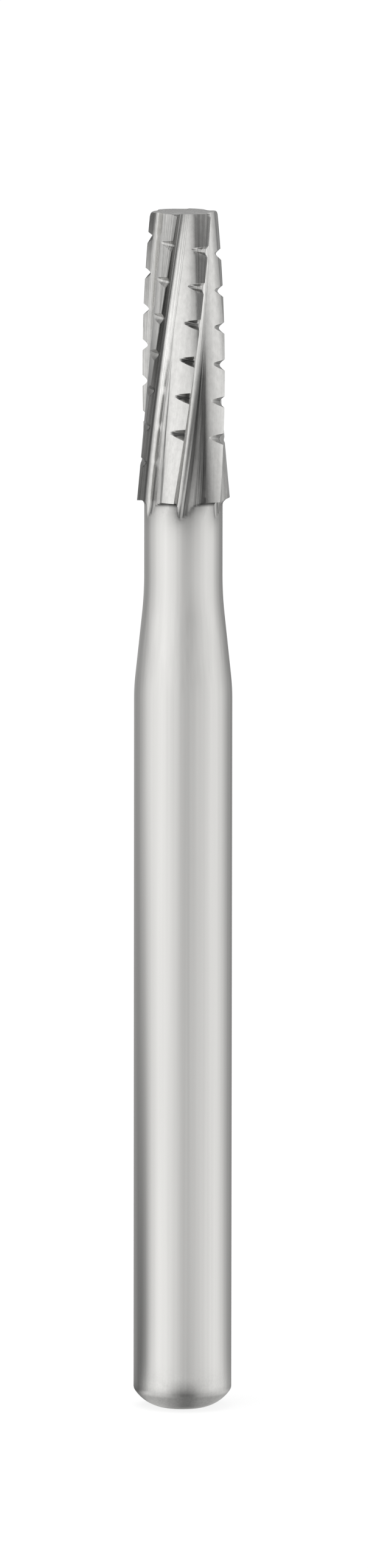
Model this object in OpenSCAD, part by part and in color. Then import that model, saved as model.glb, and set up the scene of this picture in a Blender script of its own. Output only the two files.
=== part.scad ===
// Cross-cut tapered fissure burr with a plain 1.6 mm shank, ground from one carbide rod.
// It stands on the end of its shank, with the cutting tip up. All sizes are in millimetres.

/* [Shank] */
// Diameter of the shank that the chuck grips
shank_d = 1.6; // [1.35:0.05:2.4]
// Diameter of the small flat at the shank's end
end_flat_d = 0.78; // [0.4:0.02:1]
// Height of the crowned bevel at the shank's end
end_bevel_h = 0.3; // [0.15:0.01:0.5]
// Radius of the crowned bevel's curve
end_crown_r = 0.65; // [0.5:0.05:3]

/* [Neck] */
// Diameter of the neck below the head
neck_d = 1.275; // [0.9:0.025:1.55]
// Length of the neck, from the bottom of the head to the corner at the shoulder
neck_length = 1.56; // [0.8:0.02:4]
// Half angle of the tapered shoulder
shoulder_angle = 6.1; // [4.5:0.1:12]
// Radius that blends the shank into the shoulder
shoulder_r = 3.6; // [1:0.1:4]
// Radius that blends the shoulder into the neck
throat_r = 6; // [2:0.5:6]
// Radius of the fillet under the head
fillet_r = 0.1; // [0.05:0.01:0.12]

/* [Head] */
// Height of the tip above the shank's end
overall_length = 19.6; // [16:0.1:26]
// Length of the cutting head
head_length = 4.68; // [3:0.1:6]
// Cutting diameter at the bottom of the head
head_base_d = 1.59; // [1.3:0.01:1.6]
// Cutting diameter at the tip
head_tip_d = 1.155; // [1:0.005:1.4]
// Rounding of the blades' top corners
tip_corner_r = 0.06; // [0.03:0.01:0.08]

/* [Blades] */
// Number of blades
blade_count = 6; // [5:1:7]
// Angle between a cutting edge and the axis, right-handed
helix_angle = 8.8; // [4:0.2:14]
// Direction of the first cutting edge at the bottom of the head
first_edge = -101.5; // [-180:0.5:180]
// How far the rake face leans back from the radial direction
rake_lean = 10; // [4:1:20]
// Fall of the land behind the cutting edge
relief_angle = 18.5; // [14:0.5:21]
// Length of the straight part of the rake face
rake_length = 0.1; // [0.08:0.01:0.12]
// Part of a blade's pitch that lies between its edge and its heel at the tip
heel_share = 0.667; // [0.62:0.01:0.7]
// How much that part grows down to the bottom of the head
heel_growth = 0.11; // [0:0.01:0.12]
// Height above the bottom of the head where the flat at the heel starts
heel_flat_length = 2.9; // [1:0.1:3.4]
// Width of the heel's flat at the bottom, as a part of a blade's pitch
heel_flat_share = 0.48; // [0.2:0.02:0.5]
// Length of the flat that runs down from the tip behind each edge
tip_flat_length = 1.93; // [1:0.05:2.5]
// Width of that flat at the tip, as a part of a blade's pitch
tip_flat_share = 0.467; // [0.2:0.01:0.5]
// Radius of the curve on which the flutes run out into the neck
runout_r = 1.4; // [0.5:0.1:2]

/* [Cross-cuts] */
// Distance along the axis from one turn of the cross-cut groove to the next
notch_pitch = 0.605; // [0.45:0.005:0.8]
// Depth of the groove at the cutting edges
notch_depth = 0.088; // [0.05:0.002:0.1]
// Half of the angle between the groove's sides
notch_half_angle = 32; // [28:1:50]
// Rounding at the bottom of the groove
notch_round = 0.05; // [0.01:0.005:0.06]
// Distance of the groove from the tip at the front of the burr
first_notch = 0.54; // [0.4:0.01:0.8]
// Turns of the groove below that point
notch_turns = 5.9; // [3:0.1:6.5]

/* [Hidden] */

shank_r = shank_d / 2;
neck_r = neck_d / 2;
base_r = head_base_d / 2;
tip_r = head_tip_d / 2;
ledge_z = overall_length - head_length;
shoulder_z = ledge_z - neck_length;
blade_pitch = 360 / blade_count;
front = -90;

// How far the head's body reaches down the neck past the ends of the flutes
stub_margin = 0.06;
// The head's body is that much slimmer than the neck, so that the two meet face to face
stub_inset = 0.001;
// Height of the ledge's underside below the ledge's rim
ledge_step = 0.004;
// Distance between the heights at which the head's outline is drawn where it is plain
plain_step = 0.3;
// Number of points along each curved part of the shank's outline
arc_steps = 8;
// Greatest part of the shoulder's side that its two blends may take up together
blend_share = 0.96;
// Gap that is kept between a groove and a plain height
notch_margin = 0.04;
// Least width of the heel's flat, as a part of a blade's pitch, which keeps its sides apart
heel_flat_least = 0.02;

// A point at the given angle and radius
function polar(angle, r) = [r * cos(angle), r * sin(angle)];

// Sorts a short list of numbers
function sorted(v) =
    len(v) < 2 ? v :
    let (
        low = [for (x = v) if (x < v[0]) x],
        same = [for (x = v) if (x == v[0]) x],
        high = [for (x = v) if (x > v[0]) x]
    )
    concat(sorted(low), same, sorted(high));

// Points on the arc of radius r from point a to point b, bulging to the right of a to b
function arc_between(a, b, r, steps) =
    let (
        half = (b - a) / 2,
        rise = sqrt(r * r - half * half),
        centre = a + half + rise * [-half[1], half[0]] / norm(half),
        start = atan2(a[1] - centre[1], a[0] - centre[0]),
        turn = 2 * asin(norm(half) / r)
    )
    [for (i = [0 : steps]) centre + polar(start + turn * i / steps, r)];

// Points on the arc of radius r that blends a corner, entered along the axis's direction
// at angle before and left at angle after
function blend(corner, before, after, r, steps) =
    let (
        reach = r * tan(abs(after - before) / 2),
        side = sign(after - before),
        start = corner - polar(before, reach),
        centre = start + polar(before + 90 * side, r)
    )
    [for (i = [0 : steps])
        let (direction = before + (after - before) * i / steps)
        centre - polar(direction + 90 * side, r)];

// The cutting edges' radius falls evenly from the bottom of the head to the tip
edge_taper = (base_r - tip_r) / head_length;
function edge_r(z) = base_r - edge_taper * (z - ledge_z);

// Turn of the cutting edges at a height: a constant angle to the axis on a cone
function edge_turn(z) =
    let (tangent = tan(helix_angle) * 180 / PI)
    abs(edge_taper) < 0.0001
        ? tangent * (z - ledge_z) / base_r
        : tangent / edge_taper * ln(base_r / edge_r(z));

// Radius of the land, a spiral that falls behind the edge at the relief angle
function land_r(z, behind) = edge_r(z) * exp(-tan(relief_angle) * behind * PI / 180);

// Radius of the straight line between two points given by angle and radius
function chord_r(angle, a1, r1, a2, r2) =
    r1 * r2 * sin(a2 - a1) / (r1 * sin(angle - a1) + r2 * sin(a2 - angle));

// How far down the head a height lies, from 0 at the tip to 1 at the ledge
function descent(z) = min(1, (overall_length - z) / head_length);

// Angles behind the edge: the heel, the start of the heel's flat, and the tip flat's end
function heel(z) = blade_pitch * (heel_share + heel_growth * pow(descent(z), 2));
function heel_flat(z) =
    let (share = heel_flat_share * (1 - (z - ledge_z) / heel_flat_length))
    heel(z) - blade_pitch * max(heel_flat_least, min(heel_flat_share, share));
function tip_flat(z) =
    let (share = 1 - (overall_length - z) / tip_flat_length)
    blade_pitch * tip_flat_share * max(0, share);

// The groove fades out on the land this far behind the edge
function notch_reach(z) =
    let (fade = ln(edge_r(z) / (edge_r(z) - notch_depth)) / tan(relief_angle) * 180 / PI)
    min(fade, heel_flat(z) - 1);

// The land with the flat behind the edge, as it is before the groove is cut
function blade_r(z, behind) =
    let (flat = tip_flat(z))
    behind >= flat || flat < 1
        ? land_r(z, behind)
        : chord_r(-behind, -flat, land_r(z, flat), 0, edge_r(z));

// One blade's outline from the flute in front of the blade behind it up to its own edge.
// Each point is an angle from the blade's own edge and a radius.
land_points = 5;
floor_points = 4;
outline_count = land_points + floor_points + 2;

// Rake face of the blade behind, in the plane of that blade's edge
function rake_point(z, along) =
    [edge_r(z) - along * cos(rake_lean), along * sin(rake_lean)];

// The flute's floor is a curve that is tangent to the rake face and to the heel
function floor_point(z, t) =
    let (
        ahead = blade_pitch - heel(z),
        foot = rake_point(z, rake_length),
        end = polar(ahead, land_r(z, heel(z))),
        slope = ahead + 180 - relief_angle + 90,
        down = [-cos(rake_lean), sin(rake_lean)],
        back = [cos(slope), sin(slope)],
        gap = end - foot,
        reach = (gap[0] * back[1] - gap[1] * back[0]) / (down[0] * back[1] - down[1] * back[0]),
        corner = foot + reach * down
    )
    foot * pow(1 - t, 2) + corner * 2 * t * (1 - t) + end * pow(t, 2);

function as_polar(point) = [atan2(point[1], point[0]) - blade_pitch, norm(point)];

function outline_point(i, z) =
    i < floor_points ? as_polar(floor_point(z, i / floor_points)) :
    i == floor_points ? [-heel(z), land_r(z, heel(z))] :
    i == floor_points + 1 ? [-heel_flat(z), blade_r(z, heel_flat(z))] :
    let (behind = notch_reach(z) * (outline_count - 1 - i) / (land_points - 1))
    [-behind, blade_r(z, behind)];

// Depth of the flutes' floors under the neck's surface, and how far down they run out
floor_r = min([for (i = [0 : floor_points]) outline_point(i, ledge_z)[1]]);
floor_depth = max(0, neck_r - floor_r);
runout_length = max(fillet_r, sqrt(floor_depth * (2 * runout_r - floor_depth)));

// Head and shank meet at a whole 64th of a millimetre, a height that both hold exactly
stub_z = floor((ledge_z - runout_length - stub_margin) * 64) / 64;

// Below the ledge the flutes rise out of the neck on a circle, and all else is neck
function runout(z) =
    let (drop = max(0, ledge_z - z))
    runout_r - sqrt(max(0, runout_r * runout_r - drop * drop));
function fillet_reach(z) =
    let (into = fillet_r - (ledge_z - z))
    into <= 0 ? 0 : fillet_r - sqrt(max(0, fillet_r * fillet_r - into * into));
function body_limit(z) =
    z < ledge_z ? min(base_r, neck_r - stub_inset + fillet_reach(z)) :
    let (into = z - (overall_length - tip_corner_r))
    into <= 0 ? base_r :
    tip_r - tip_corner_r + sqrt(max(0, tip_corner_r * tip_corner_r - into * into));

// Place of column i of a blade at a height: its direction and its radius
function column_angle(blade, i, z) =
    first_edge + blade * blade_pitch + edge_turn(z) + outline_point(i, z)[0];
function column_r(i, z) = min(outline_point(i, z)[1] + runout(z), body_limit(z));

// The cross-cut is one helical groove. It falls as it turns with the blades' numbers.
// Height at which its given turn meets a column, found by repeating the estimate
function notch_turn(blade, i, k, z) = k + (column_angle(blade, i, z) - front) / 360;
function notch_z(blade, i, k, z, tries) =
    tries == 0 ? z :
    let (turn = notch_turn(blade, i, k, z))
    notch_z(blade, i, k, overall_length - first_notch - notch_pitch * turn, tries - 1);

// Half of the groove's width on a column that stands proud of the groove's bottom
function notch_half_width(i, z) =
    let (proud = column_r(i, z) - (edge_r(z) - notch_depth))
    proud <= 0 ? 0 :
    sqrt(pow(proud * tan(notch_half_angle) + notch_round, 2) - notch_round * notch_round);

// Radius of the groove's rounded sides at a distance from its middle
function notch_r(z, off) =
    let (rise = sqrt(off * off + notch_round * notch_round) - notch_round)
    edge_r(z) - notch_depth + rise / tan(notch_half_angle);

// The columns that the groove can reach: the foot of the rake face and the land
function is_cut(i) = i == 0 || i >= outline_count - land_points;

// Middle heights of all turns of the groove that pass a column
function notches(blade, i) =
    !is_cut(i) ? [] :
    [for (k = [-2 : ceil(notch_turns) + 1])
        let (
            guess = overall_length - first_notch - notch_pitch * k,
            z = notch_z(blade, i, k, guess, 4),
            room = notch_half_width(outline_count - 1, z) + notch_margin
        )
        if (notch_turn(blade, i, k, z) <= notch_turns
            && z > ledge_z + room && z < overall_length - tip_corner_r - room)
        z];

// Least half width at which a groove is drawn with its whole section
notch_fade = 0.02;
// Parts of the groove's half width at which its section is drawn
notch_section = [-1, -0.72, -0.44, -0.2, 0, 0.2, 0.44, 0.72, 1];

// Heights at which each column has points
foot_heights = concat(
    [stub_z],
    [for (part = [1, 0.72, 0.5]) if (runout_length * part > fillet_r + 2 * ledge_step)
        ledge_z - runout_length * part],
    [for (part = [1, 0.7, 0.4, 0.2]) ledge_z - fillet_r * part - ledge_step],
    [ledge_z - ledge_step, ledge_z]
);
tip_heights = [for (angle = [0, 35, 65, 90]) overall_length - tip_corner_r * (1 - sin(angle))];
plain_count = ceil((head_length - tip_corner_r) / plain_step);
plain_heights = [for (n = [1 : plain_count - 1])
    ledge_z + (head_length - tip_corner_r) * n / plain_count];

// A groove is drawn with its whole section, or with one point where it has all but faded out
function section_heights(i, z) =
    let (half = notch_half_width(i, z))
    half < notch_fade ? [z] : [for (part = notch_section) z + part * half];

function column_heights(blade, i) =
    let (
        middles = notches(blade, i),
        cuts = [for (z = middles) for (height = section_heights(i, z)) height],
        clear = [for (z = plain_heights)
            if (len([for (m = middles)
                if (abs(z - m) < notch_half_width(i, m) + notch_margin) m]) == 0) z]
    )
    concat(foot_heights, sorted(concat(cuts, clear)), tip_heights);

function column_points(blade, i) =
    let (middles = notches(blade, i))
    [for (z = column_heights(blade, i))
        let (
            offs = [for (m = middles) abs(z - m)],
            groove = len(offs) == 0 ? base_r : notch_r(z, min(offs)),
            flat = polar(column_angle(blade, i, z), min(column_r(i, z), groove))
        )
        [flat[0], flat[1], z]];

// Triangles between two neighbouring columns a and b, always on the shorter diagonal
function zip(a, b, start_a, start_b, i = 0, j = 0) =
    i == len(a) - 1 && j == len(b) - 1 ? [] :
    let (
        up_a = i < len(a) - 1 ? abs(a[i + 1][2] - b[j][2]) : overall_length,
        up_b = j < len(b) - 1 ? abs(b[j + 1][2] - a[i][2]) : overall_length
    )
    up_a <= up_b
        ? concat([[start_a + i, start_a + i + 1, start_b + j]],
            zip(a, b, start_a, start_b, i + 1, j))
        : concat([[start_a + i, start_b + j + 1, start_b + j]],
            zip(a, b, start_a, start_b, i, j + 1));

// Running sums of the columns' lengths
function starts(columns, i = 0, sum = 0) =
    i == len(columns) ? [] : concat([sum], starts(columns, i + 1, sum + len(columns[i])));

// The fluted head and the short neck below it, as one closed body
module head() {
    columns = [for (blade = [0 : blade_count - 1])
        for (i = [0 : outline_count - 1]) column_points(blade, i)];
    count = len(columns);
    first = starts(columns);
    last = [for (c = [0 : count - 1]) first[c] + len(columns[c]) - 1];
    points = [for (column = columns) for (point = column) point];
    bottom = len(points);
    top = bottom + 1;
    sides = [for (c = [0 : count - 1])
        let (d = (c + 1) % count)
        for (face = zip(columns[c], columns[d], first[c], first[d])) face];
    bottom_cap = [for (c = [0 : count - 1]) [first[c], first[(c + 1) % count], bottom]];
    top_cap = [for (c = [0 : count - 1]) [last[(c + 1) % count], last[c], top]];
    polyhedron(
        points = concat(points, [[0, 0, stub_z], [0, 0, overall_length]]),
        faces = concat(sides, bottom_cap, top_cap),
        convexity = 10
    );
}

// The shank and the neck are turned: a crowned end, a cylinder, a shoulder and the neck
module shank() {
    shank_top = shoulder_z - (shank_r - neck_r) / tan(shoulder_angle);
    lean = 90 + shoulder_angle;
    side = (shank_r - neck_r) / sin(shoulder_angle);
    reach = (shoulder_r + throat_r) * tan(shoulder_angle / 2);
    fit = min(1, blend_share * side / reach);
    outline = concat(
        [[0, 0]],
        arc_between([end_flat_d / 2, 0], [shank_r, end_bevel_h], end_crown_r, arc_steps),
        blend([shank_r, shank_top], 90, lean, shoulder_r * fit, arc_steps),
        blend([neck_r, shoulder_z], lean, 90, throat_r * fit, arc_steps),
        [[neck_r, stub_z], [0, stub_z]]
    );
    rotate_extrude($fn = 96) polygon(outline);
}

module carbide_burr() {
    color("silver")
    union() {
        shank();
        head();
    }
}

carbide_burr();
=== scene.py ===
"""Looks for a cross-cut tapered fissure burr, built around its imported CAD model."""

import math
from dataclasses import dataclass

import bpy
import numpy as np
from mathutils import Matrix, Vector


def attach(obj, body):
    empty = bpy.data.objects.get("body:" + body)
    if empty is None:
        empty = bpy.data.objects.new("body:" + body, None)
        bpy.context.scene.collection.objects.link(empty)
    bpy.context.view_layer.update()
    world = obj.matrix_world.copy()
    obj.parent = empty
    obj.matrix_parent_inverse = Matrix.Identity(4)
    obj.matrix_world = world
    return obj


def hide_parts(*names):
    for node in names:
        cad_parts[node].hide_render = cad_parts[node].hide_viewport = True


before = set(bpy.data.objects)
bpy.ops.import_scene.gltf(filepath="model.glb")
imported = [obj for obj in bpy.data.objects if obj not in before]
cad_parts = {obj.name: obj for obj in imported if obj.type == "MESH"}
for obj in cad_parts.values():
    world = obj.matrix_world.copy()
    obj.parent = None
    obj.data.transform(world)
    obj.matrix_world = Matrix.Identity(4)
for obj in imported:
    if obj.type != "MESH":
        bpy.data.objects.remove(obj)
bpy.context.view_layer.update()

MM = 0.001
TAU = 2 * math.pi

# Sizes of the burr, in millimetres and degrees: the shank and its crowned end

SHANK_R = 0.8
END_FLAT_R = 0.39
END_BEVEL_H = 0.3
END_CROWN_R = 0.65
CORNER_R = 0.12

# The neck, and the shoulder that leads to it

NECK_R = 0.6375
NECK_LENGTH = 1.56
SHOULDER_ANGLE = 6.1
SHOULDER_R = 3.6
THROAT_R = 6.0
FILLET_R = 0.1

# The head

TOP_Z = 19.6
HEAD_LENGTH = 4.68
LEDGE_Z = TOP_Z - HEAD_LENGTH
BASE_R = 0.795
TIP_R = 0.5775
TIP_CORNER_R = 0.06
EDGE_TAPER = (BASE_R - TIP_R) / HEAD_LENGTH

# The blades and their flutes. A share is a share of the pitch.

BLADES = 6
PITCH = 360 / BLADES
HELIX = 8.8
FIRST_EDGE = -101.5
RAKE_LEAN = 10.0
RAKE_LENGTH = 0.1
RELIEF = 18.5
HEEL_SHARE = 0.667
HEEL_GROWTH = 0.11
HEEL_FLAT_LENGTH = 2.9
HEEL_FLAT_SHARE = 0.48
HEEL_FLAT_LEAST = 0.02
TIP_FLAT_LENGTH = 1.93
TIP_FLAT_SHARE = 0.467
TIP_FLAT_LEAST = 1
RUNOUT_R = 1.4

# The cross-cut groove, one helix that starts below the tip, at the front

NOTCH_PITCH = 0.605
NOTCH_DEPTH = 0.088
NOTCH_HALF_ANGLE = 32
NOTCH_TAN = math.tan(math.radians(NOTCH_HALF_ANGLE))
NOTCH_ROUND = 0.05
NOTCH_GAP = 1
FIRST_NOTCH = 0.54
NOTCH_TURNS = 5.9
FRONT = -90.0


def edge_r(z):
    """Radius of the blades' edges."""
    return BASE_R - EDGE_TAPER * (z - LEDGE_Z)


def edge_turn(z):
    """How far the helix has turned the edges, in degrees, from the ledge up."""
    return math.degrees(math.tan(math.radians(HELIX))) / EDGE_TAPER * np.log(BASE_R / edge_r(z))


def land_r(z, behind):
    """Radius of the relieved land, at an angle behind the edge."""
    return edge_r(z) * np.exp(-math.tan(math.radians(RELIEF)) * np.radians(behind))


def chord_r(angle, a1, r1, a2, r2):
    """Radius, at an angle, of the straight line between two points given by angle and radius."""
    angle, a1, a2 = np.radians(angle), np.radians(a1), np.radians(a2)
    return r1 * r2 * np.sin(a2 - a1) / (r1 * np.sin(angle - a1) + r2 * np.sin(a2 - angle))


def heel(z):
    """Angle behind the edge where the blade ends and the next flute begins."""
    descent = np.minimum(1, (TOP_Z - z) / HEAD_LENGTH)
    return PITCH * (HEEL_SHARE + HEEL_GROWTH * descent**2)


def heel_flat(z):
    """Angle behind the edge where the land meets the heel's flat."""
    share = HEEL_FLAT_SHARE * (1 - (z - LEDGE_Z) / HEEL_FLAT_LENGTH)
    return heel(z) - PITCH * np.clip(share, HEEL_FLAT_LEAST, HEEL_FLAT_SHARE)


def tip_flat(z):
    """Angle that the flat behind the edge takes up, near the tip."""
    return PITCH * TIP_FLAT_SHARE * np.maximum(0, 1 - (TOP_Z - z) / TIP_FLAT_LENGTH)


def notch_reach(z):
    """Angle behind the edge where the groove runs out on the land, short of the heel's flat."""
    sunk = np.log(edge_r(z) / (edge_r(z) - NOTCH_DEPTH))
    reach = np.degrees(sunk / math.tan(math.radians(RELIEF)))
    return np.minimum(reach, heel_flat(z) - NOTCH_GAP)


def blade_r(z, behind):
    """Radius of the land, with the flat behind the edge near the tip."""
    flat = tip_flat(z)
    wide = np.maximum(flat, TIP_FLAT_LEAST)
    chord = chord_r(-behind, -wide, land_r(z, wide), 0 * z, edge_r(z))
    return np.where((behind >= flat) | (flat < TIP_FLAT_LEAST), land_r(z, behind), chord)


def floor_point(z, t):
    """The flute's floor: a curve that is tangent to the rake face and to the heel."""
    lean = math.radians(RAKE_LEAN)
    ahead = np.radians(PITCH - heel(z))
    down = np.array([-math.cos(lean) + 0 * z, math.sin(lean) + 0 * z])
    foot = np.array([edge_r(z), 0 * z]) + RAKE_LENGTH * down
    end = land_r(z, heel(z)) * np.array([np.cos(ahead), np.sin(ahead)])
    slope = ahead + math.radians(270 - RELIEF)
    back = np.array([np.cos(slope), np.sin(slope)])
    gap = end - foot
    reach = (gap[0] * back[1] - gap[1] * back[0]) / (down[0] * back[1] - down[1] * back[0])
    corner = foot + reach * down
    return foot * (1 - t) ** 2 + corner * 2 * t * (1 - t) + end * t**2


def outline(kind, t, z):
    """Angle from the blade's own edge, and radius, of a column at heights z."""
    if kind == "rake":
        lean = math.radians(RAKE_LEAN)
        x = edge_r(z) - t * RAKE_LENGTH * math.cos(lean)
        y = t * RAKE_LENGTH * math.sin(lean) + 0 * z
        return np.degrees(np.arctan2(y, x)) - PITCH, np.hypot(x, y)
    if kind == "floor":
        x, y = floor_point(z, t)
        return np.degrees(np.arctan2(y, x)) - PITCH, np.hypot(x, y)
    if kind == "heel":
        high, low = heel(z), heel_flat(z)
        behind = high + (low - high) * t
        return -behind, chord_r(-behind, -high, land_r(z, high), -low, blade_r(z, low))
    reach = notch_reach(z)
    middle = np.clip(tip_flat(z), MIDDLE_SPAN[0] * reach, MIDDLE_SPAN[1] * reach)
    if kind == "back":
        behind = heel_flat(z) + (reach - heel_flat(z)) * t
    elif kind == "land":
        behind = reach + (middle - reach) * t
    else:
        behind = middle * (1 - t)
    return -behind, blade_r(z, behind)


def runout(z):
    """How far the flutes have risen below the ledge, on the run-out's circle."""
    drop = np.maximum(0, LEDGE_Z - z)
    return RUNOUT_R - np.sqrt(np.maximum(0, RUNOUT_R**2 - drop**2))


def body_limit(z):
    """Radius of the turned blank: neck and fillet below the ledge, rounded corner at the tip."""
    into = np.clip(FILLET_R - (LEDGE_Z - z), 0, FILLET_R)
    below = NECK_R + FILLET_R - np.sqrt(FILLET_R**2 - into**2)
    rise = np.clip(z - (TOP_Z - TIP_CORNER_R), 0, TIP_CORNER_R)
    above = TIP_R - TIP_CORNER_R + np.sqrt(np.maximum(0, TIP_CORNER_R**2 - rise**2))
    return np.where(z < LEDGE_Z, np.minimum(BASE_R, below), np.where(rise > 0, above, BASE_R))


def column_angle(blade, kind, t, z):
    """Angle round the burr of a column at heights z."""
    return FIRST_EDGE + blade * PITCH + edge_turn(z) + outline(kind, t, z)[0]


def column_r(kind, t, z):
    """Radius of a column at heights z, before the groove is cut."""
    return np.minimum(outline(kind, t, z)[1] + runout(z), body_limit(z))


def notch_half_width(kind, t, z):
    """Half the height of the groove where it crosses a column."""
    proud = max(0.0, float(column_r(kind, t, z)) - (edge_r(z) - NOTCH_DEPTH))
    return math.sqrt((proud * NOTCH_TAN + NOTCH_ROUND) ** 2 - NOTCH_ROUND**2)


def notch_r(z, off):
    """Radius of the groove's surface, at a distance off its middle."""
    return edge_r(z) - NOTCH_DEPTH + (np.sqrt(off**2 + NOTCH_ROUND**2) - NOTCH_ROUND) / NOTCH_TAN


def notches(blade, kind, t):
    """Middle heights of all turns of the groove that pass a column."""
    found = []
    for k in range(-2, math.ceil(NOTCH_TURNS) + 2):
        z = TOP_Z - FIRST_NOTCH - NOTCH_PITCH * k
        for _ in range(NOTCH_ROUNDS):
            turn = k + (float(column_angle(blade, kind, t, z)) - FRONT) / 360
            z = TOP_Z - FIRST_NOTCH - NOTCH_PITCH * turn
        room = notch_half_width("edge", 1.0, z) + NOTCH_ROOM
        if turn <= NOTCH_TURNS and LEDGE_Z + room < z < TOP_Z - TIP_CORNER_R - room:
            found.append(z)
    return found


# The burr's mesh: one closed skin of columns that run from the shank's end to the tip. Each
# stands at a place t, from 0 to 1, on the rake face, the flute's floor, the heel's flat, or one
# of the three parts of the land. The middle column of the land follows the rim of the flat near
# the tip, within MIDDLE_SPAN of the groove's reach.

MIDDLE_SPAN = (0.3, 0.97)
COLUMNS = (
    [("rake", t) for t in (0.12, 0.4, 0.7, 1.0)]
    + [("floor", t) for t in (0.11, 0.22, 0.33, 0.44, 0.55, 0.66, 0.77, 0.86, 0.92, 0.96, 1.0)]
    + [("heel", (i + 1) / 7) for i in range(7)]
    + [("back", (i + 1) / 5) for i in range(5)]
    + [("land", (i + 1) / 7) for i in range(7)]
    + [("edge", t) for t in (0.2, 0.4, 0.6, 0.8, 0.94, 1.0)]
)
ZONES = {"rake": "flute", "floor": "flute", "heel": "heel"}
NOTCH_ROUNDS = 5
NOTCH_ROOM = 0.04
NOTCH_LEAST = 0.012
NOTCH_HALF = (0.04, 0.12, 0.25, 0.45, 0.7, 0.93, 1)
NOTCH_SECTION = [-part for part in reversed(NOTCH_HALF)] + list(NOTCH_HALF)
PLAIN_STEP = 0.05
TIP_STEP = 18
CROWN_STEPS = 16
CORNER_STEPS = 6
BLEND_STEPS = 8
RIM_STEPS = (0.08, 0.2, 0.5)
SHANK_ROWS = (0.9, -0.4, 16)
NECK_ROWS = (0.1, -0.36, 4)
STUB_ROWS = (-0.3, -0.03, 9)
RUNOUT_PARTS = (1.12, 1, 0.9, 0.8, 0.7, 0.6, 0.5, 0.42)
FILLET_PARTS = (1, 0.85, 0.7, 0.55, 0.4, 0.28, 0.18, 0.1, 0.04, 0)
LEDGE_STEP = 0.004
ROUNDING = 1e-6
STREAK_GAP = 3.7
SHARP_ANGLE = 24


def arc(x1, y1, x2, y2, r, steps):
    """Points on an arc that bulges to the right of the way from point 1 to point 2."""
    a, b = np.array([x1, y1]), np.array([x2, y2])
    half = (b - a) / 2
    length = np.hypot(*half)
    centre = a + half + math.sqrt(r * r - length**2) * np.array([-half[1], half[0]]) / length
    start = math.atan2(a[1] - centre[1], a[0] - centre[0])
    turn = 2 * math.asin(length / r)
    angles = start + turn * np.arange(steps + 1) / steps
    return [(centre[0] + r * math.cos(v), centre[1] + r * math.sin(v)) for v in angles]


def toward(angle):
    """The direction at an angle in degrees."""
    return np.array([math.cos(math.radians(angle)), math.sin(math.radians(angle))])


def blend(x, y, before, after, r, steps):
    """Points on the arc that blends a corner between two directions, in degrees."""
    reach = r * math.tan(math.radians(abs(after - before)) / 2)
    side = 90 if after > before else -90
    centre = np.array([x, y]) - reach * toward(before) + r * toward(before + side)
    ways = [before + (after - before) * i / steps for i in range(steps + 1)]
    return [tuple(centre - r * toward(way + side)) for way in ways]


def straight(r, low, high, rows):
    """Points on a straight part. Its rows say the first and the last place, and their number."""
    first, last, number = rows
    return [(r, z) for z in np.linspace(low + first, high + last, number)]


def turned_outline(stub_z):
    """Radius and height of the turned shank and neck, from the end flat's rim up to a height."""
    shoulder_z = LEDGE_Z - NECK_LENGTH
    shank_top = shoulder_z - (SHANK_R - NECK_R) / math.tan(math.radians(SHOULDER_ANGLE))
    lean = 90 + SHOULDER_ANGLE
    crown = arc(END_FLAT_R, 0, SHANK_R, END_BEVEL_H, END_CROWN_R, CROWN_STEPS)
    slope = math.degrees(math.atan2(crown[-1][1] - crown[-2][1], crown[-1][0] - crown[-2][0]))
    crown = crown[:-2] + blend(SHANK_R, END_BEVEL_H, slope, 90, CORNER_R, CORNER_STEPS)
    low = blend(SHANK_R, shank_top, 90, lean, SHOULDER_R, BLEND_STEPS)
    high = blend(NECK_R, shoulder_z, lean, 90, THROAT_R, BLEND_STEPS)
    rim = [(SHANK_R, END_BEVEL_H + step) for step in RIM_STEPS]
    shank = straight(SHANK_R, END_BEVEL_H, low[0][1], SHANK_ROWS)
    neck = straight(NECK_R, high[-1][1], stub_z, NECK_ROWS)
    below_head = straight(NECK_R, stub_z, stub_z, STUB_ROWS)
    return crown + rim + shank + low + high + neck + below_head


def foot_heights():
    """Heights of the points where the flutes run out in the neck, up to the ledge."""
    floor = min(float(outline("floor", t, LEDGE_Z)[1]) for t in np.linspace(0, 1, 10))
    depth = max(0.0, NECK_R - floor)
    length = math.sqrt(depth * (2 * RUNOUT_R - depth))
    heights = [LEDGE_Z - length * part for part in RUNOUT_PARTS]
    heights += [LEDGE_Z - FILLET_R * part - LEDGE_STEP for part in FILLET_PARTS]
    return heights + [LEDGE_Z]


@dataclass
class Column:
    """One line of points up the burr. The groove has cut away depth at each of them."""

    blade: int
    kind: str
    t: float
    start: int
    points: np.ndarray
    depth: np.ndarray
    across: float

    @property
    def end(self):
        return self.start + len(self.points) - 1


def column_points(blade, kind, t, turned, foot, plain, tip):
    """Points of a column from the bottom up, and the groove's depth at each."""
    notched = kind in ("rake", "land", "edge")
    middles = notches(blade, kind, t) if notched else []
    halves = [notch_half_width(kind, t, m) for m in middles]
    spans = list(zip(middles, halves))
    heights = [z for z in plain if all(abs(z - m) > half + NOTCH_LEAST for m, half in spans)]
    for m, half in spans:
        heights += [m + part * half for part in NOTCH_SECTION] if half > NOTCH_LEAST else [m]
    z = np.array(foot + sorted(heights) + tip)
    angle = column_angle(blade, kind, t, z)
    uncut = column_r(kind, t, z)
    r = uncut
    for m, half in spans:
        near = np.abs(z - m) <= half + ROUNDING
        r = np.where(near, np.minimum(r, notch_r(z, np.abs(z - m))), r)
    low = np.array(turned)
    depth = np.concatenate([np.zeros(len(low)), uncut - r])
    angle = np.radians(np.concatenate([np.full(len(low), angle[0]), angle]))
    r = np.concatenate([low[:, 0], r])
    z = np.concatenate([low[:, 1], z])
    return np.stack([r * np.cos(angle), r * np.sin(angle), z], 1), depth


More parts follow.
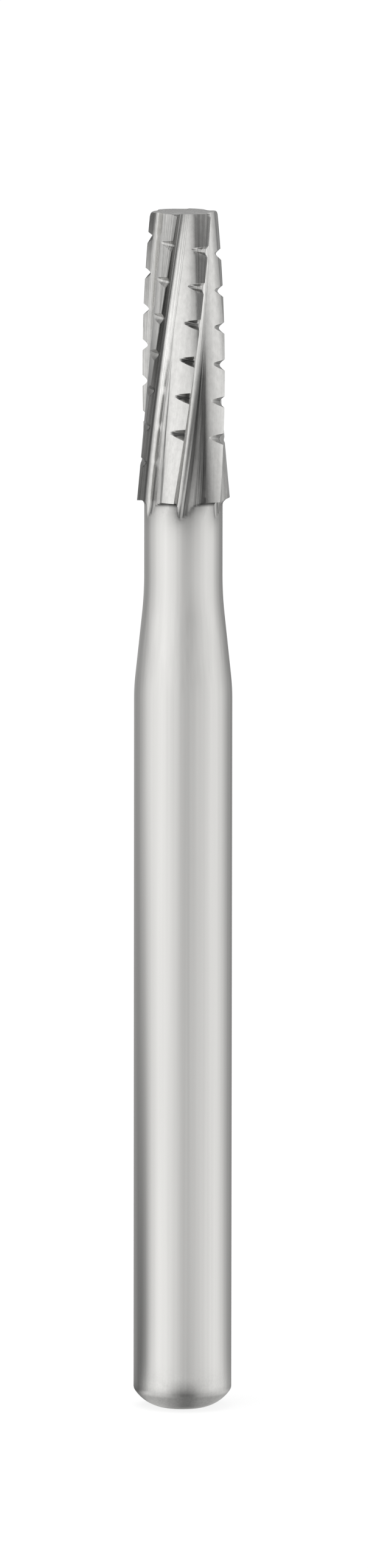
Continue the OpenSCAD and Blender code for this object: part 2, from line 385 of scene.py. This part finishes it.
def lay_columns(foot):
    """All columns, round the burr."""
    turned = turned_outline(foot[0])
    plain_top = TOP_Z - TIP_CORNER_R
    rows = round((plain_top - LEDGE_Z) / PLAIN_STEP)
    plain = [LEDGE_Z + (plain_top - LEDGE_Z) * row / rows for row in range(1, rows)]
    corner = [math.radians(angle) for angle in range(0, 91, TIP_STEP)]
    tip = [TOP_Z - TIP_CORNER_R * (1 - math.sin(angle)) for angle in corner]
    columns = []
    start = 0
    for blade in range(BLADES):
        across = blade * STREAK_GAP
        last = None
        for kind, t in COLUMNS:
            points, depth = column_points(blade, kind, t, turned, foot, plain, tip)
            angle, r = (float(v) for v in outline(kind, t, (LEDGE_Z + TOP_Z) / 2))
            spot = r * toward(angle)
            across += 0.0 if last is None else float(np.hypot(*(spot - last)))
            last = spot
            columns.append(Column(blade, kind, t, start, points, depth, across))
            start += len(points)
    return columns


def stitch(left, right):
    """Triangles between two neighbouring columns, always on the shorter diagonal."""
    za, zb = left.points[:, 2], right.points[:, 2]
    i = j = 0
    out = []
    while i < len(za) - 1 or j < len(zb) - 1:
        up_a = abs(za[i + 1] - zb[j]) if i < len(za) - 1 else math.inf
        up_b = abs(zb[j + 1] - za[i]) if j < len(zb) - 1 else math.inf
        a, b = left.start + i, right.start + j
        if up_a <= up_b:
            out.append((a, b, a + 1))
            i += 1
        else:
            out.append((a, b, b + 1))
            j += 1
    return out


def skin(columns):
    """Triangles of the closed skin, and the zone that each belongs to."""
    neighbours = list(zip(columns, columns[1:] + columns[:1]))
    faces, zones = [], []
    for left, right in neighbours:
        sides = stitch(left, right)
        faces += sides
        zones += [ZONES.get(right.kind, "land")] * len(sides)
    bottom = columns[-1].end + 1
    top = bottom + 1
    for left, right in neighbours:
        faces += [(right.start, left.start, bottom), (left.end, right.end, top)]
        zones += ["end", "tip"]
    return faces, zones


# What the materials need to know of each point. The blades differ a little, as in the photo.
# Each value in a row belongs to a blade: the painted shade and grinding marks on its heel, the
# painted shade in the flute between it and the blade before, the painted shade on its land low
# down, the tone of its flat near the tip, partly painted shade, the painted shade in its grooves,
# and how dark the neck is made where that flute ends.

HEEL_MARKS_AND_SHADE = (0.3, 1.0, 0.7, 0.8, 0.6, 0.7)
FLUTE_SHADE = (1.0, 0.3, 0.8, 0.7, 0.8, 0.35)
LAND_SHADE = (1.0, 1.0, 1.0, 0.8, 0.9, 0.45)
TIP_TONE_AND_SHADE = (0.88, 0.7, 0.6, 0.75, 0.22, 0.66)
GROOVE_SHADE = (1.0, 0.4, 0.8, 1.0, 0.7, 0.3)
FLUTE_END_DARK = (0.55, 1.0, 0.7, 0.8, 0.6, 0.8)

# Painted shade on the rake face, and painted shade and painted reflection across the flute's
# floor, the heel's flat and the back of the land, as places and levels. The floor's levels above 1
# are a painted highlight, and its line a painted dark line next to the heel. The heel's painted
# shade and marks show where the flat is wide enough, as a share of the pitch. The lands are alike
# near the tip. The flutes' stubs in the neck get painted shade on their upper side.

RAKE_LOSS = 0.68
FLOOR_LIGHT = ((0, 0.12, 0.24, 0.38, 0.5, 0.8, 1), (0.28, 0.24, 0.5, 1.0, 1.2, 1.2, 1.0))
FLOOR_LINE = ((0.89, 0.96, 1), (1, 0.45, 0.25))
HEEL_LIGHT = ((0, 0.12, 0.26, 0.5, 0.72, 0.9, 1), (0.18, 0.26, 0.46, 0.5, 0.42, 0.52, 0.74))
BACK_LIGHT = ((0, 0.4, 1), (0.85, 0.93, 1))
MARKS_AND_SHADE_RISE = (0.024, 0.144)
LAND_RISE = (TOP_Z - 2.8, TOP_Z - 1.6)
STUB_LOSS = 0.4
STUB_FADE = 0.3
STUB_FROM = 0.6

# Depths at which a groove takes its full painted shade and a carved surface is no longer turned,
# the reach of the darkening near the flutes' ends, in millimetres, and the width of the tip flats'
# soft rims, in degrees

GROOVE_FULL = 0.016
TURNED_FADE = 0.006
CARVED_LEAST = 0.01
FOOT_ROOM = 0.01
END_DARK_REACH = 0.9
END_DARK_FADE = 0.12
FLAT_LEAST = 0.5
FLAT_FADE = 1.5


def shade(blade, kind, t, z):
    """Painted shade of a column: deep in the flutes, on the coarse heels, below the ledge."""
    # Painted shade on the flutes' stubs below the ledge
    stub = 1 - STUB_LOSS * np.clip((LEDGE_Z - z) / STUB_FADE, 0, 1)
    z = np.maximum(z, LEDGE_Z)
    # The heel's marks are painted shade and painted reflection as well as its grinding
    marks = HEEL_MARKS_AND_SHADE[blade] * np.interp((heel(z) - heel_flat(z)) / PITCH, MARKS_AND_SHADE_RISE, (0, 1))
    if kind == "rake":
        return 1 - FLUTE_SHADE[blade] * RAKE_LOSS + 0 * z
    if kind == "floor":
        deep = 1 - FLUTE_SHADE[blade] * (1 - np.interp(t, *FLOOR_LIGHT))
        line = 1 - marks * (1 - np.interp(t, *FLOOR_LINE))
        return deep * line * (stub if t > STUB_FROM else 1)
    if kind == "heel":
        return (1 - marks * (1 - np.interp(t, *HEEL_LIGHT))) * stub
    # Painted shade on the land low down, stronger on some blades
    upper = np.interp(z, LAND_RISE, (0, 1))
    land = LAND_SHADE[blade] * (1 - upper) + upper
    if kind == "back":
        return land * (1 - marks * (1 - np.interp(t, *BACK_LIGHT)))
    return land


def flute_end_dark(points, ends, owner):
    """Darkening on the neck: strongest at the flutes' ends, fading away from them."""
    out = np.zeros(len(points))
    near = np.nonzero((points[:, 2] > LEDGE_Z - END_DARK_REACH) & (points[:, 2] < LEDGE_Z))[0]
    for v in near:
        gaps = ((points[ends] - points[v]) ** 2).sum(1)
        nearest = int(gaps.argmin())
        out[v] = FLUTE_END_DARK[owner[ends[nearest]]] * math.exp(-math.sqrt(gaps[nearest]) / END_DARK_FADE)
    return out


def on_tip_flat(column):
    """1 on the flat behind the edge near the tip, 0 elsewhere."""
    z = column.points[:, 2]
    if column.kind not in ("land", "edge"):
        return np.zeros(len(z))
    flat = tip_flat(z)
    behind = -outline(column.kind, column.t, z)[0]
    inside = np.clip((flat - behind) / FLAT_FADE + 0.5, 0, 1)
    return inside * (flat > FLAT_LEAST) * (z > LEDGE_Z)


def gather(values, ends):
    """One value for each point: those of the columns, then the same one for both ends' centres."""
    return np.concatenate(values + [np.full(2, ends)])


def add_attribute(mesh, name, domain, values):
    attribute = mesh.attributes.new(name, "FLOAT", domain)
    attribute.data.foreach_set("value", np.asarray(values, np.float32))


def add_point_attributes(mesh, columns, points, foot_z):
    sizes = [len(column.points) for column in columns]
    owner = gather([np.full(size, c.blade) for c, size in zip(columns, sizes)], 0)
    across = gather([np.full(size, c.across) for c, size in zip(columns, sizes)], 0.0)
    light = gather([shade(c.blade, c.kind, c.t, c.points[:, 2]) for c in columns], 1.0)
    groove = np.clip(gather([c.depth for c in columns], 0.0) / GROOVE_FULL, 0, 1)
    z = points[:, 2]
    below = z < LEDGE_Z - LEDGE_STEP / 2
    sunk = body_limit(z) - np.hypot(points[:, 0], points[:, 1])
    carved = np.where(below & (z > foot_z - FOOT_ROOM), sunk, 0.0)
    turned = np.where(below, 1 - np.clip(carved / TURNED_FADE, 0, 1), 0.0)
    flute_ends = np.nonzero(carved > CARVED_LEAST)[0]
    for name, values in (
        ("across", across),
        ("shade", light),
        ("turned", turned),
        ("flute_end_dark", flute_end_dark(points, flute_ends, owner)),
        ("groove", groove),
        ("groove_shade", np.array(GROOVE_SHADE)[owner]),
        ("tip_tone_and_shade", np.array(TIP_TONE_AND_SHADE)[owner]),
        ("tip_flat", gather([on_tip_flat(c) for c in columns], 0.0)),
    ):
        add_attribute(mesh, name, "POINT", values)


def crease(mesh, columns):
    """Crisp lines up the burr, where the lands meet the heels' flats."""
    on_line = np.zeros(len(mesh.vertices), bool)
    for column in columns:
        if (column.kind, column.t) == ("heel", 1.0):
            on_line[column.start : column.end + 1] = column.points[:, 2] > LEDGE_Z
    ends = np.zeros(2 * len(mesh.edges), np.int32)
    mesh.edges.foreach_get("vertices", ends)
    ends = ends.reshape(-1, 2)
    sharp = np.zeros(len(mesh.edges), bool)
    mesh.attributes["sharp_edge"].data.foreach_get("value", sharp)
    sharp |= on_line[ends].all(1) & (np.abs(ends[:, 0] - ends[:, 1]) == 1)
    mesh.attributes["sharp_edge"].data.foreach_set("value", sharp)


def mesh_object(name, points, faces):
    mesh = bpy.data.meshes.new(name)
    mesh.from_pydata(points, [], faces)
    mesh.update()
    obj = bpy.data.objects.new(name, mesh)
    bpy.context.scene.collection.objects.link(obj)
    return obj


def build_burr():
    foot = foot_heights()
    columns = lay_columns(foot)
    faces, zones = skin(columns)
    centres = [[0, 0, 0], [0, 0, TOP_Z]]
    points = np.concatenate([column.points for column in columns] + [centres])
    obj = mesh_object("burr_body", (points * MM).tolist(), faces)
    mesh = obj.data
    add_point_attributes(mesh, columns, points, foot[0])
    zones = np.array(zones)
    add_attribute(mesh, "zone_flute", "FACE", zones == "flute")
    add_attribute(mesh, "zone_heel", "FACE", zones == "heel")
    mesh.polygons.foreach_set("material_index", (zones == "tip").astype(np.int32))
    mesh.polygons.foreach_set("use_smooth", np.ones(len(faces), bool))
    mesh.set_sharp_from_angle(angle=math.radians(SHARP_ANGLE))
    crease(mesh, columns)
    return obj


# Helpers for materials


def new_material(name):
    material = bpy.data.materials.new(name)
    material.use_nodes = True
    material.node_tree.nodes.clear()
    return material, Nodes(material.node_tree)


class Nodes:
    """Short ways to make nodes and links in one tree. Most of a noise lies in NOISE."""

    NOISE = (0.3, 0.7)

    def __init__(self, tree):
        self.tree = tree

    def add(self, kind, inputs=None, **settings):
        node = self.tree.nodes.new(kind)
        for key, value in settings.items():
            setattr(node, key, value)
        for key, value in (inputs or {}).items():
            self.put(node.inputs[key], value)
        return node

    def put(self, socket, value):
        if isinstance(value, bpy.types.NodeSocket):
            self.tree.links.new(value, socket)
        else:
            socket.default_value = value

    def math(self, operation, a, b=0.0, clamp=False):
        node = self.add("ShaderNodeMath", operation=operation, use_clamp=clamp)
        for socket, value in zip(node.inputs, (a, b)):
            self.put(socket, value)
        return node.outputs[0]

    def chain(self, operation, first, *others):
        for other in others:
            first = self.math(operation, first, other)
        return first

    def times(self, *factors):
        return self.chain("MULTIPLY", *factors)

    def plus(self, *terms):
        return self.chain("ADD", *terms)

    def most(self, *values):
        return self.chain("MAXIMUM", *values)

    def minus(self, a, b):
        return self.math("SUBTRACT", a, b)

    def size(self, value):
        return self.math("ABSOLUTE", value)

    def capped(self, a, b):
        """A product that is kept between 0 and 1."""
        return self.math("MULTIPLY", a, b, clamp=True)

    def mix(self, factor, a, b):
        node = self.add("ShaderNodeMix", data_type="FLOAT")
        for socket, value in zip((node.inputs[0], node.inputs[2], node.inputs[3]), (factor, a, b)):
            self.put(socket, value)
        return node.outputs[0]

    def toned(self, amount, level):
        """1 where the amount is 0, and the level where it is 1."""
        return self.mix(amount, 1.0, level)

    def ranged(self, value, low, high, to_low=0.0, to_high=1.0, smooth=False):
        kind = "SMOOTHSTEP" if smooth else "LINEAR"
        source = {"Value": value, "From Min": low, "From Max": high}
        target = {"To Min": to_low, "To Max": to_high}
        return self.add("ShaderNodeMapRange", source | target, interpolation_type=kind).outputs[0]

    def spread(self, noise, to_low, to_high):
        """A noise, brought from its usual range to another."""
        return self.ranged(noise, *self.NOISE, to_low, to_high)

    def fade(self, length, low, high, to_low=0.0, to_high=1.0, smooth=True):
        """A soft change between two places, given in millimetres."""
        return self.ranged(length, low * MM, high * MM, to_low, to_high, smooth)

    def swing(self, angle, low, high, to_low=0.0, to_high=1.0):
        """A soft change between two angles, given in degrees."""
        low, high = math.radians(low), math.radians(high)
        return self.ranged(angle, low, high, to_low, to_high, smooth=True)

    def attribute(self, name):
        return self.add("ShaderNodeAttribute", attribute_name=name).outputs["Fac"]

    def place(self):
        return self.add("ShaderNodeTexCoord").outputs["Object"]

    def split(self, vector):
        return self.add("ShaderNodeSeparateXYZ", {"Vector": vector}).outputs

    def noise(self, vector, detail, roughness=0.5):
        inputs = {"Vector": vector, "Scale": 1.0, "Detail": detail, "Roughness": roughness}
        return self.add("ShaderNodeTexNoise", inputs).outputs["Fac"]

    def grain(self, place, scale, detail, roughness=0.5):
        """Noise with a scale for each axis, per metre."""
        vector = self.add("ShaderNodeMapping", {"Vector": place, "Scale": scale}).outputs[0]
        return self.noise(vector, detail, roughness)

    def lines(self, across, z, pattern, detail, roughness=0.5):
        """Noise drawn out along the blades. A pattern is a scale across and along, and a seed."""
        wide, long, seed = pattern
        inputs = {"X": self.times(across, wide), "Y": self.times(z, long), "Z": seed}
        vector = self.add("ShaderNodeCombineXYZ", inputs).outputs[0]
        return self.noise(vector, detail, roughness)

    def surface(self, shader):
        self.add("ShaderNodeOutputMaterial", {"Surface": shader.outputs[0]})


# Materials of the burr. Tones are shares of the carbide's own colour. Noises have a scale for
# each axis, and lines along the blades a scale across, a scale along, and a seed.

CARBIDE = (0.66, 0.655, 0.64)
SHANK_STREAKS = (16000, 16000, 55)
SHANK_BANDS = (4200, 4200, 130)
FINE_GRAIN = (30000, 30000, 26000)
CLOUDS = (4000, 4000, 3000)
SPECKS = (15000, 15000, 9000)
TIP_STREAKS = (3000, 42000, 1)
TIP_GRAIN = (26000, 26000, 1)
FINE_LINES = (60, 420, 0)
SCORED_LINES = (52, 230, 9)
WIDE_LINES = (17, 160, 3)

# A range is two values of a noise, and the two tones that they become

CLOUD_RANGE = (0.35, 0.65, 0.93, 1.05)
SCORE_RANGE = (0.42, 0.6, 0.45, 1.6)
SPECK_RANGE = (0.3, 0.62, 0.9, 1.03)
TIP_RANGE = (0.3, 0.5, 0.7, 1.0)

# Places where one look fades into another, in millimetres

BEVEL_FADE = (END_BEVEL_H - 0.08, END_BEVEL_H)
RIM_FADE = (END_BEVEL_H, END_BEVEL_H + 0.12)
LOW_END_FADE = (END_BEVEL_H, END_BEVEL_H + 0.6)
NEAR_HEAD_FADE = (LEDGE_Z - 0.47, LEDGE_Z + 0.03)
# Where the painted shadow under the head's ledge lies
UNDER_HEAD_FADE = (LEDGE_Z - 0.09, LEDGE_Z - 0.02)
# Where the darker patch low on the front middle of the shank lies
FRONT_DARK_SIDES = (0.04, 0.4)
FRONT_DARK_FADE = (END_BEVEL_H - 0.02, END_BEVEL_H + 0.3)
FRONT_DARK_Y = (-0.3, 0)
# Where the groove's painted shade gives way, near the tip
GROOVE_SHADE_FADE = (TOP_Z - 2.0, TOP_Z - 1.4)

# Tones, roughness and relief

SHANK_TONE = (1.075, 1.155)
SHANK_ROUGH = (0.33, 0.38)
FINE_ROUGH = 0.06
# The bevel's darker tone is painted shade; its added roughness is its rougher grinding
BEVEL_SHADE_TONE = 0.64
BEVEL_ROUGH = 0.16
RIM_TONE = 0.85
# Darker patch low on the front middle of the shank, above and on the bevel
FRONT_DARK_TONE = 0.45
FRONT_DARK_X = 0.03
# Painted shadow under the head's ledge
UNDER_HEAD_SHADOW = 0.3
END_DARK_TONE = 0.08
# The groove's bottom and upward-facing flank tones are painted shade; the downward-facing flank's
# tone above 1 is a painted highlight
GROOVE_TONE = 0.13
FLANK_TONES = (1.2, 0.36)
LAND_ROUGH = 0.13
COARSE_ROUGH = 0.24
BURR_BUMP = 0.0014 * MM
TIP_BUMP = 0.001 * MM


def turned_look(n, place, z):
    """Tone, roughness and height of the centreless-ground shank, the neck and the crowned end."""
    streaks = n.grain(place, SHANK_STREAKS, 3)
    bands = n.grain(place, SHANK_BANDS, 2)
    grain = n.grain(place, FINE_GRAIN, 3)
    cloud = n.grain(place, CLOUDS, 3)
    mottle = n.times(n.spread(grain, 0.9, 1.06), n.ranged(cloud, *CLOUD_RANGE))
    patchy = n.spread(cloud, 0.7, 1.1)

    # The end's bevel: painted darker as shade, and ground rougher
    bevel = n.fade(z, *BEVEL_FADE, 1, 0)
    rim = n.minus(n.fade(z, *RIM_FADE, 1, 0), bevel)
    low_end = n.fade(z, *LOW_END_FADE, 1, 0)
    near_head = n.fade(z, *NEAR_HEAD_FADE)
    # Painted shadow in a thin band under the head's ledge
    under_head_shadow = n.fade(z, *UNDER_HEAD_FADE)
    fine = n.most(bevel, n.times(low_end, 0.6), near_head)

    x, y, _ = n.split(place)
    # A darker patch low on the front middle of the shank, half as strong on the bevel
    front_dark = n.times(
        n.fade(n.size(n.minus(x, FRONT_DARK_X * MM)), *FRONT_DARK_SIDES, 1, 0),
        n.fade(z, *FRONT_DARK_FADE, 1, 0),
        n.fade(y, *FRONT_DARK_Y, 1, 0, smooth=False),
        n.toned(bevel, 0.5),
    )
    # Darker on the neck near the flutes' ends
    end_dark = n.times(n.capped(n.attribute("flute_end_dark"), patchy), n.spread(grain, 0.75, 1.0))

    tone = n.times(
        n.spread(streaks, *SHANK_TONE),
        n.spread(bands, 0.97, 1.03),
        n.toned(fine, mottle),
        n.toned(bevel, BEVEL_SHADE_TONE),
        n.toned(rim, RIM_TONE),
        n.toned(n.capped(front_dark, patchy), FRONT_DARK_TONE),
        n.toned(under_head_shadow, UNDER_HEAD_SHADOW),
        n.toned(end_dark, END_DARK_TONE),
    )
    rough = n.plus(
        n.spread(streaks, *SHANK_ROUGH), n.times(fine, FINE_ROUGH), n.times(bevel, BEVEL_ROUGH)
    )
    height = n.plus(n.times(streaks, 0.6), n.times(grain, fine))
    return tone, rough, height


def groove_tone(n, z):
    """Painted shade in the cross-cut: dark bottom and upper-facing side, lighter near the tip."""
    facing = n.split(n.add("ShaderNodeNewGeometry").outputs["Normal"])["Z"]
    flank = n.ranged(n.size(facing), 0.35, 0.7, smooth=True)
    bottom = n.fade(z, *GROOVE_SHADE_FADE, GROOVE_TONE, 1.0)
    # Painted shade on the upward-facing flank, painted highlight on the downward-facing flank
    painted_groove_shade = n.mix(flank, bottom, n.ranged(facing, -0.3, 0.3, *FLANK_TONES))
    return n.toned(n.times(n.attribute("groove"), n.attribute("groove_shade")), painted_groove_shade)


def blade_look(n, place, z):
    """Tone, roughness and height of the bright lands and of the coarser flats and flutes."""
    across = n.attribute("across")
    heel_zone = n.attribute("zone_heel")
    tip = n.attribute("tip_flat")
    coarse = n.most(n.attribute("zone_flute"), heel_zone, tip)
    scored = n.most(heel_zone, n.times(coarse, 0.4), n.times(tip, 0.5))
    depth = n.mix(coarse, 0.25, 1.0)

    fine = n.lines(across, z, FINE_LINES, 3)
    scores = n.lines(across, z, SCORED_LINES, 4, 0.7)
    wide = n.lines(across, z, WIDE_LINES, 2)
    specks = n.grain(place, SPECKS, 4, 0.65)

    tone = n.times(
        n.plus(1.0, n.times(n.minus(fine, 0.5), n.times(depth, 0.6))),
        n.toned(scored, n.ranged(scores, *SCORE_RANGE)),
        n.spread(wide, 0.96, 1.03),
        n.ranged(specks, *SPECK_RANGE),
        # Painted shade and painted highlight of each point
        n.attribute("shade"),
        # The tip flats' darker tone: their rougher grinding, and painted shade that differs per
        # blade
        n.toned(tip, n.attribute("tip_tone_and_shade")),
        # The grooves' painted shade
        groove_tone(n, z),
    )
    rough = n.plus(n.mix(coarse, LAND_ROUGH, COARSE_ROUGH), n.spread(wide, -0.03, 0.04))
    return tone, rough, n.times(fine, depth)


def ground_metal(n, tone, rough, height, strength, distance):
    colour = n.add("ShaderNodeVectorMath", {0: CARBIDE}, operation="SCALE")
    n.put(colour.inputs["Scale"], tone)
    bump = n.add("ShaderNodeBump", {"Height": height, "Strength": strength, "Distance": distance})
    look = {"Base Color": colour.outputs[0], "Metallic": 1.0, "Roughness": rough}
    n.surface(n.add("ShaderNodeBsdfPrincipled", look | {"Normal": bump.outputs[0]}))


def carbide_material():
    """Ground carbide: satin where it is turned, bright and streaked on the blades."""
    material, n = new_material("ground_carbide")
    place = n.place()
    z = n.split(place)["Z"]
    turned = n.attribute("turned")
    looks = zip(blade_look(n, place, z), turned_look(n, place, z))
    tone, rough, height = (n.mix(turned, blade, shank) for blade, shank in looks)
    ground_metal(n, tone, rough, height, 0.6, BURR_BUMP)
    return material


def face_material():
    """The flat cutting tip, ground and a little speckled."""
    material, n = new_material("ground_tip")
    streaks = n.grain(n.place(), TIP_STREAKS, 2)
    grain = n.grain(n.place(), TIP_GRAIN, 3)
    tone = n.times(n.spread(streaks, 0.9, 1.05), n.ranged(grain, *TIP_RANGE))
    ground_metal(n, tone, n.spread(grain, 0.22, 0.34), streaks, 0.5, TIP_BUMP)
    return material


burr = build_burr()
for material in (carbide_material(), face_material()):
    burr.data.materials.append(material)
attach(burr, "root")
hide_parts("carbide_burr")


# The floor. Camera and reflections see it white, and it keeps the burr's shadow.

FLOOR_HALF = 2.0
FLOOR_LEVEL = 0.93
SHADOW_LEVEL = 0.16
LIFT_LEVEL = 0.84


def pale_floor():
    corners = ((-1, -1), (1, -1), (1, 1), (-1, 1))
    points = [(x * FLOOR_HALF, y * FLOOR_HALF, 0) for x, y in corners]
    floor = mesh_object("floor", points, [(0, 1, 2, 3)])
    material, n = new_material("pale_floor")
    plain = n.add("ShaderNodeBsdfDiffuse", {"Color": (FLOOR_LEVEL,) * 3 + (1,)})
    soft = n.add("ShaderNodeBsdfDiffuse", {"Color": (SHADOW_LEVEL,) * 3 + (1,)})
    lift = n.add("ShaderNodeEmission", {"Color": (1, 1, 1, 1), "Strength": LIFT_LEVEL})
    pale = n.add("ShaderNodeAddShader", {0: soft.outputs[0], 1: lift.outputs[0]})
    path = n.add("ShaderNodeLightPath").outputs
    direct = n.plus(path["Is Camera Ray"], path["Is Glossy Ray"])
    seen = n.math("ADD", direct, path["Is Transmission Ray"], clamp=True)
    n.surface(n.add("ShaderNodeMixShader", {0: seen, 1: plain.outputs[0], 2: pale.outputs[0]}))
    floor.data.materials.append(material)


pale_floor()


# The light tent stands round the burr, and only reflections see it. Its cloth has a broad light
# on the left, a second light on the right, a dark gap beside the camera that is narrower and
# darker beside the head, and dim cloth behind, which is paler above the burr's tip. The tent's
# own floor carries the same light up to the burr's foot. Sizes are in millimetres and degrees,
# and angles are 0 at the camera and positive to the right.

TENT_R = 8.0
TENT_HEIGHT = 40.0
TENT_FOOT_R = 0.5
TENT_FOOT_Z = 0.015
TENT_TOP_R = 0.01
TENT_SIDES = 96
TENT_HEAD = (
    (-180, 0.30), (-150, 0.44), (-127, 0.66), (-112, 0.80), (-100, 0.86),
    (-88, 0.92), (-80, 1.12), (-66, 1.22), (-45, 1.18), (-28, 1.06),
    (-18, 0.98), (-12, 0.84), (-5, 0.70), (1, 0.58), (6, 0.22),
    (29, 0.20), (36, 0.36), (44, 0.58), (50, 0.72), (62, 0.84),
    (74, 1.02), (94, 1.04), (106, 0.78), (120, 0.60), (145, 0.44),
    (180, 0.30),
)
TENT_SHANK = (
    (-180, 0.34), (-150, 0.42), (-132, 0.27), (-116, 0.38), (-100, 0.62),
    (-88, 0.84), (-76, 1.01), (-62, 1.14), (-50, 1.15), (-40, 1.09),
    (-32, 1.02), (-24, 0.95), (-15, 0.88), (-7, 0.74), (-1, 0.56),
    (8, 0.52), (16, 0.56), (26, 0.74), (36, 0.78), (46, 0.83),
    (56, 0.91), (66, 0.98), (78, 1.02), (88, 0.96), (100, 0.78),
    (114, 0.50), (132, 0.26), (160, 0.26), (180, 0.34),
)
HEAD_FROM = (14.0, 14.7)
BACK_FROM = (19.9, 20.3)
BACK_LEVEL = 0.34
GLOW_FROM = (20.6, 22.0)
GLOW_LEVEL = 0.22
ROOF_FROM = (24.5, 30)
ROOF_MIDDLE = -12
ROOF_SIDES = (38, 62)
ROOF_LEVELS = (0.1, 0.6)
NEAR_FROM = (0.6, 3.0)
NEAR_LEVEL = 0.85
DUSK_RISE = (-140, -106)
DUSK_FALL = (-98, -64)
DUSK_HEIGHT = 9
DUSK_LOSS = 0.82


def tent_ramp(n, side, stops):
    """Light round the tent, from a level for each angle."""
    node = n.add("ShaderNodeValToRGB", {"Fac": n.ranged(side, -math.pi, math.pi)})
    marks = node.color_ramp.elements
    while len(marks) < len(stops):
        marks.new(0.5)
    brightest = max(level for _, level in stops)
    for mark, (angle, level) in zip(marks, stops):
        mark.position = (angle + 180) / 360
        mark.color = (level / brightest,) * 3 + (1,)
    return n.times(node.outputs["Color"], brightest)


def tent_light(n):
    """The cloth's light: bands round the burr, a dim back, a darker roof and low left side."""
    place = n.place()
    x, y, height = n.split(place)
    side = n.math("ARCTAN2", x, n.times(y, -1.0))
    head, shank = (tent_ramp(n, side, stops) for stops in (TENT_HEAD, TENT_SHANK))
    around = n.mix(n.fade(height, *HEAD_FROM), shank, head)
    back = n.fade(height, *BACK_FROM, 0, BACK_LEVEL)
    glow = n.fade(height, *GLOW_FROM, 0, GLOW_LEVEL)
    aside = n.size(n.minus(side, math.radians(ROOF_MIDDLE)))
    roof = n.toned(n.fade(height, *ROOF_FROM), n.swing(aside, *ROOF_SIDES, *ROOF_LEVELS))
    reach = n.add("ShaderNodeVectorMath", {0: place}, operation="LENGTH").outputs["Value"]
    near = n.fade(reach, *NEAR_FROM, NEAR_LEVEL, 1.0)
    dusk = n.times(
        n.swing(side, *DUSK_FALL, 1, 0),
        n.swing(side, *DUSK_RISE),
        n.fade(height, 0, DUSK_HEIGHT, DUSK_LOSS, 0, smooth=False),
    )
    return n.times(n.most(around, n.plus(back, glow)), roof, near, n.minus(1.0, dusk))


def light_tent():
    turns = [TAU * i / TENT_SIDES for i in range(TENT_SIDES)]
    rings = (
        (TENT_FOOT_R, TENT_FOOT_Z),
        (TENT_R, TENT_FOOT_Z),
        (TENT_R, TENT_HEIGHT),
        (TENT_TOP_R, TENT_HEIGHT),
    )
    points = [(r * MM * math.cos(v), r * MM * math.sin(v), z * MM) for r, z in rings for v in turns]
    faces = []
    for ring in range(len(rings) - 1):
        low, high = ring * TENT_SIDES, (ring + 1) * TENT_SIDES
        for i in range(TENT_SIDES):
            j = (i + 1) % TENT_SIDES
            faces.append((low + i, low + j, high + j, high + i))
    tent = mesh_object("light_tent", points, faces)
    material, n = new_material("tent_cloth")
    n.surface(n.add("ShaderNodeEmission", {"Color": (1, 1, 1, 1), "Strength": tent_light(n)}))
    material.cycles.emission_sampling = "NONE"
    tent.data.materials.append(material)
    tent.visible_camera = False
    tent.visible_diffuse = False
    tent.visible_shadow = False
    tent.visible_transmission = False


light_tent()


# Lamp and world

LAMP_PLACE = (-0.12, -0.1, 0.5)
LAMP_AIM = (0, 0, 0.01)
LAMP_SIZE = 0.35
LAMP_POWER = 1.0

lamp_data = bpy.data.lights.new("top_light", "AREA")
lamp_data.shape = "DISK"
lamp_data.size = LAMP_SIZE
lamp_data.energy = LAMP_POWER
lamp = bpy.data.objects.new("top_light", lamp_data)
bpy.context.scene.collection.objects.link(lamp)
lamp.location = LAMP_PLACE
lamp.rotation_mode = "QUATERNION"
lamp.rotation_quaternion = (Vector(LAMP_AIM) - Vector(LAMP_PLACE)).to_track_quat("-Z", "Y")

world = bpy.data.worlds.new("white_room")
bpy.context.scene.world = world
world.use_nodes = True
background = world.node_tree.nodes["Background"].inputs
background["Color"].default_value = (1, 1, 1, 1)
background["Strength"].default_value = 1.0

# Camera, in millimetres and degrees

CAMERA_DISTANCE = 283.2
CAMERA_HEIGHT = 48.0
AIM = (0.015, 0.0, 10.244)
ROLL = 0.067
LENS = 403.2

camera_data = bpy.data.cameras.new("camera")
camera_data.sensor_width = 36
camera_data.lens = LENS
camera_data.clip_start = 0.01
camera_data.clip_end = 10
camera = bpy.data.objects.new("camera", camera_data)
bpy.context.scene.collection.objects.link(camera)
camera.location = Vector((AIM[0], -CAMERA_DISTANCE, CAMERA_HEIGHT)) * MM
camera.rotation_mode = "QUATERNION"
look = Vector(AIM) * MM - camera.location
roll = Matrix.Rotation(math.radians(ROLL), 4, "Z").to_quaternion()
camera.rotation_quaternion = look.to_track_quat("-Z", "Y") @ roll
bpy.context.scene.camera = camera
bpy.context.scene.view_settings.view_transform = "Standard"
